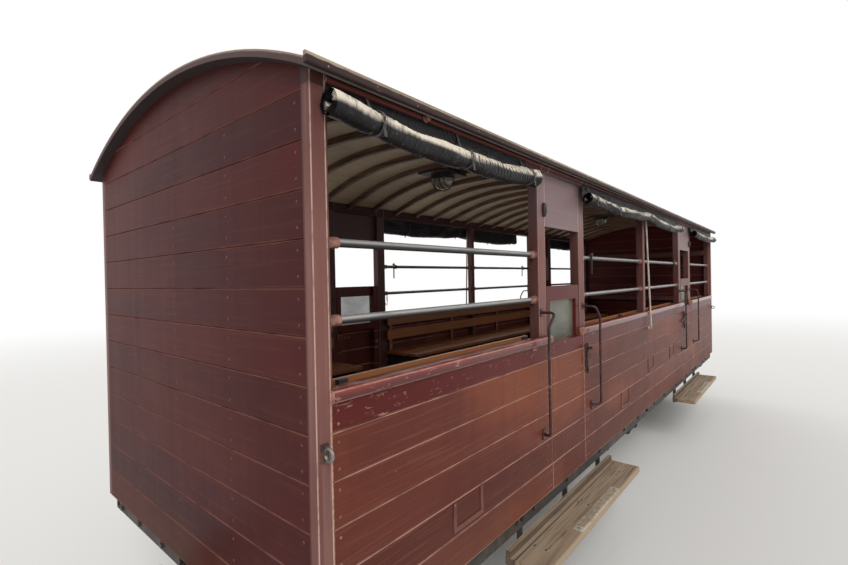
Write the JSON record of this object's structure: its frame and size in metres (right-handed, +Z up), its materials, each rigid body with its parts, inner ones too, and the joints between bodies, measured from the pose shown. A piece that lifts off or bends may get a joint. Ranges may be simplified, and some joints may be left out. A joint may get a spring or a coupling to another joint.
{
  "type": "open-sided narrow-gauge passenger coach",
  "caption": "Open-sided planked passenger coach on two bogies, with arched roof, side doors, step boards, guard rails and rolled canvas blinds.",
  "frame": {"origin": "middle of the coach in plan, at the height of the wheel flange tips", "axes": "+X along the coach, +Z up, the side seen in the picture faces -Y"},
  "size_m": [8.2598, 2.48, 2.8451],
  "materials": {
    "painted_timber": "maroon paint over planks, worn pale at edges",
    "painted_steel": "maroon paint, slightly faded",
    "painted_steel_rod": "dark maroon paint, worn",
    "running_gear_black": "black paint with brake dust",
    "wheel_steel": "dark steel with bright treads",
    "cast_steel": "dark weathered casting",
    "floor_timber": "worn floor boards",
    "roof_paint": "weathered pale roof paint",
    "edge_strip": "weathered pale strip",
    "galvanised_pipe": "bare galvanised pipe",
    "varnished_timber": "varnished slats",
    "lamp_bowl": "opal bowl",
    "canvas": "dark coated canvas",
    "weathered_timber": "bare weathered board"
  },
  "bodies": {
    "bogie_front": {"axleboxes_front": "running_gear_black", "bogie_bolster_front": "running_gear_black", "bogie_frame_front": "running_gear_black", "brake_gear_front": "running_gear_black"},
    "bogie_rear": {"axleboxes_rear": "running_gear_black", "bogie_bolster_rear": "running_gear_black", "bogie_frame_rear": "running_gear_black", "brake_gear_rear": "running_gear_black"},
    "body": {"bench_left": "varnished_timber", "bench_right": "varnished_timber", "blind_front_left": "canvas", "blind_front_right": "canvas", "blind_middle_left": "canvas", "blind_middle_right": "canvas", "blind_rear_left": "canvas", "blind_rear_right": "canvas", "body_bolsters": "running_gear_black", "brake_cylinder": "running_gear_black", "ceiling_lamps": "lamp_bowl", "draft_gear": "running_gear_black", "end_frame_front": "painted_steel", "end_frame_rear": "painted_steel", "end_wall_front": "painted_timber", "end_wall_rear": "painted_timber", "floor": "floor_timber", "grab_handles_left": "painted_steel_rod", "grab_handles_right": "painted_steel_rod", "guard_rails_left": "galvanised_pipe", "guard_rails_right": "galvanised_pipe", "roof_carlines": "painted_timber", "roof_edge_strips": "edge_strip", "roof_skin": "roof_paint", "side_fittings": "painted_steel_rod", "side_frame_left": "painted_steel", "side_frame_right": "painted_steel", "side_panel_front_left": "painted_timber", "side_panel_front_right": "painted_timber", "side_panel_middle_left": "painted_timber", "side_panel_middle_right": "painted_timber", "side_panel_rear_left": "painted_timber", "side_panel_rear_right": "painted_timber", "sill_board_left": "painted_timber", "sill_board_right": "painted_timber", "step_front_left": "weathered_timber", "step_front_right": "weathered_timber", "step_rear_left": "weathered_timber", "step_rear_right": "weathered_timber", "truss_rods": "running_gear_black", "underframe": "running_gear_black"},
    "coupler_front": {"coupler_front": "cast_steel"},
    "coupler_rear": {"coupler_rear": "cast_steel"},
    "door_front_left": {"door_front_left": "painted_timber"},
    "door_front_right": {"door_front_right": "painted_timber"},
    "door_rear_left": {"door_rear_left": "painted_timber"},
    "door_rear_right": {"door_rear_right": "painted_timber"},
    "wheelset_front_inner": {"wheelset_front_inner": "wheel_steel"},
    "wheelset_front_outer": {"wheelset_front_outer": "wheel_steel"},
    "wheelset_rear_inner": {"wheelset_rear_inner": "wheel_steel"},
    "wheelset_rear_outer": {"wheelset_rear_outer": "wheel_steel"}
  },
  "joints": [
    {"name": "bogie_swivel_front", "type": "hinge", "parent": "body", "child": "bogie_front", "pos_m": [-2.45, 0, 0.52], "axis": [0, 0, 1], "range_deg": [-10, 10]},
    {"name": "axle_front_outer", "type": "hinge", "parent": "bogie_front", "child": "wheelset_front_outer", "pos_m": [-3.035, 0, 0.33], "axis": [0, 1, 0], "continuous": true},
    {"name": "axle_front_inner", "type": "hinge", "parent": "bogie_front", "child": "wheelset_front_inner", "pos_m": [-1.865, 0, 0.33], "axis": [0, 1, 0], "continuous": true},
    {"name": "coupler_swing_front", "type": "hinge", "parent": "body", "child": "coupler_front", "pos_m": [-3.53, 0, 0.585], "axis": [0, 0, 1], "range_deg": [-7, 7]},
    {"name": "bogie_swivel_rear", "type": "hinge", "parent": "body", "child": "bogie_rear", "pos_m": [2.45, 0, 0.52], "axis": [0, 0, 1], "range_deg": [-10, 10]},
    {"name": "axle_rear_outer", "type": "hinge", "parent": "bogie_rear", "child": "wheelset_rear_outer", "pos_m": [3.035, 0, 0.33], "axis": [0, 1, 0], "continuous": true},
    {"name": "axle_rear_inner", "type": "hinge", "parent": "bogie_rear", "child": "wheelset_rear_inner", "pos_m": [1.865, 0, 0.33], "axis": [0, 1, 0], "continuous": true},
    {"name": "coupler_swing_rear", "type": "hinge", "parent": "body", "child": "coupler_rear", "pos_m": [3.53, 0, 0.585], "axis": [0, 0, 1], "range_deg": [-7, 7]},
    {"name": "door_swing_front_right", "type": "hinge", "parent": "body", "child": "door_front_right", "pos_m": [-2.148, -0.9435, 1.18], "axis": [0, 0, 1], "range_deg": [0, 90]},
    {"name": "door_swing_front_left", "type": "hinge", "parent": "body", "child": "door_front_left", "pos_m": [-2.148, 0.9435, 1.18], "axis": [0, 0, -1], "range_deg": [0, 90]},
    {"name": "door_swing_rear_right", "type": "hinge", "parent": "body", "child": "door_rear_right", "pos_m": [2.148, -0.9435, 1.18], "axis": [0, 0, -1], "range_deg": [0, 90]},
    {"name": "door_swing_rear_left", "type": "hinge", "parent": "body", "child": "door_rear_left", "pos_m": [2.148, 0.9435, 1.18], "axis": [0, 0, 1], "range_deg": [0, 90]}
  ]
}
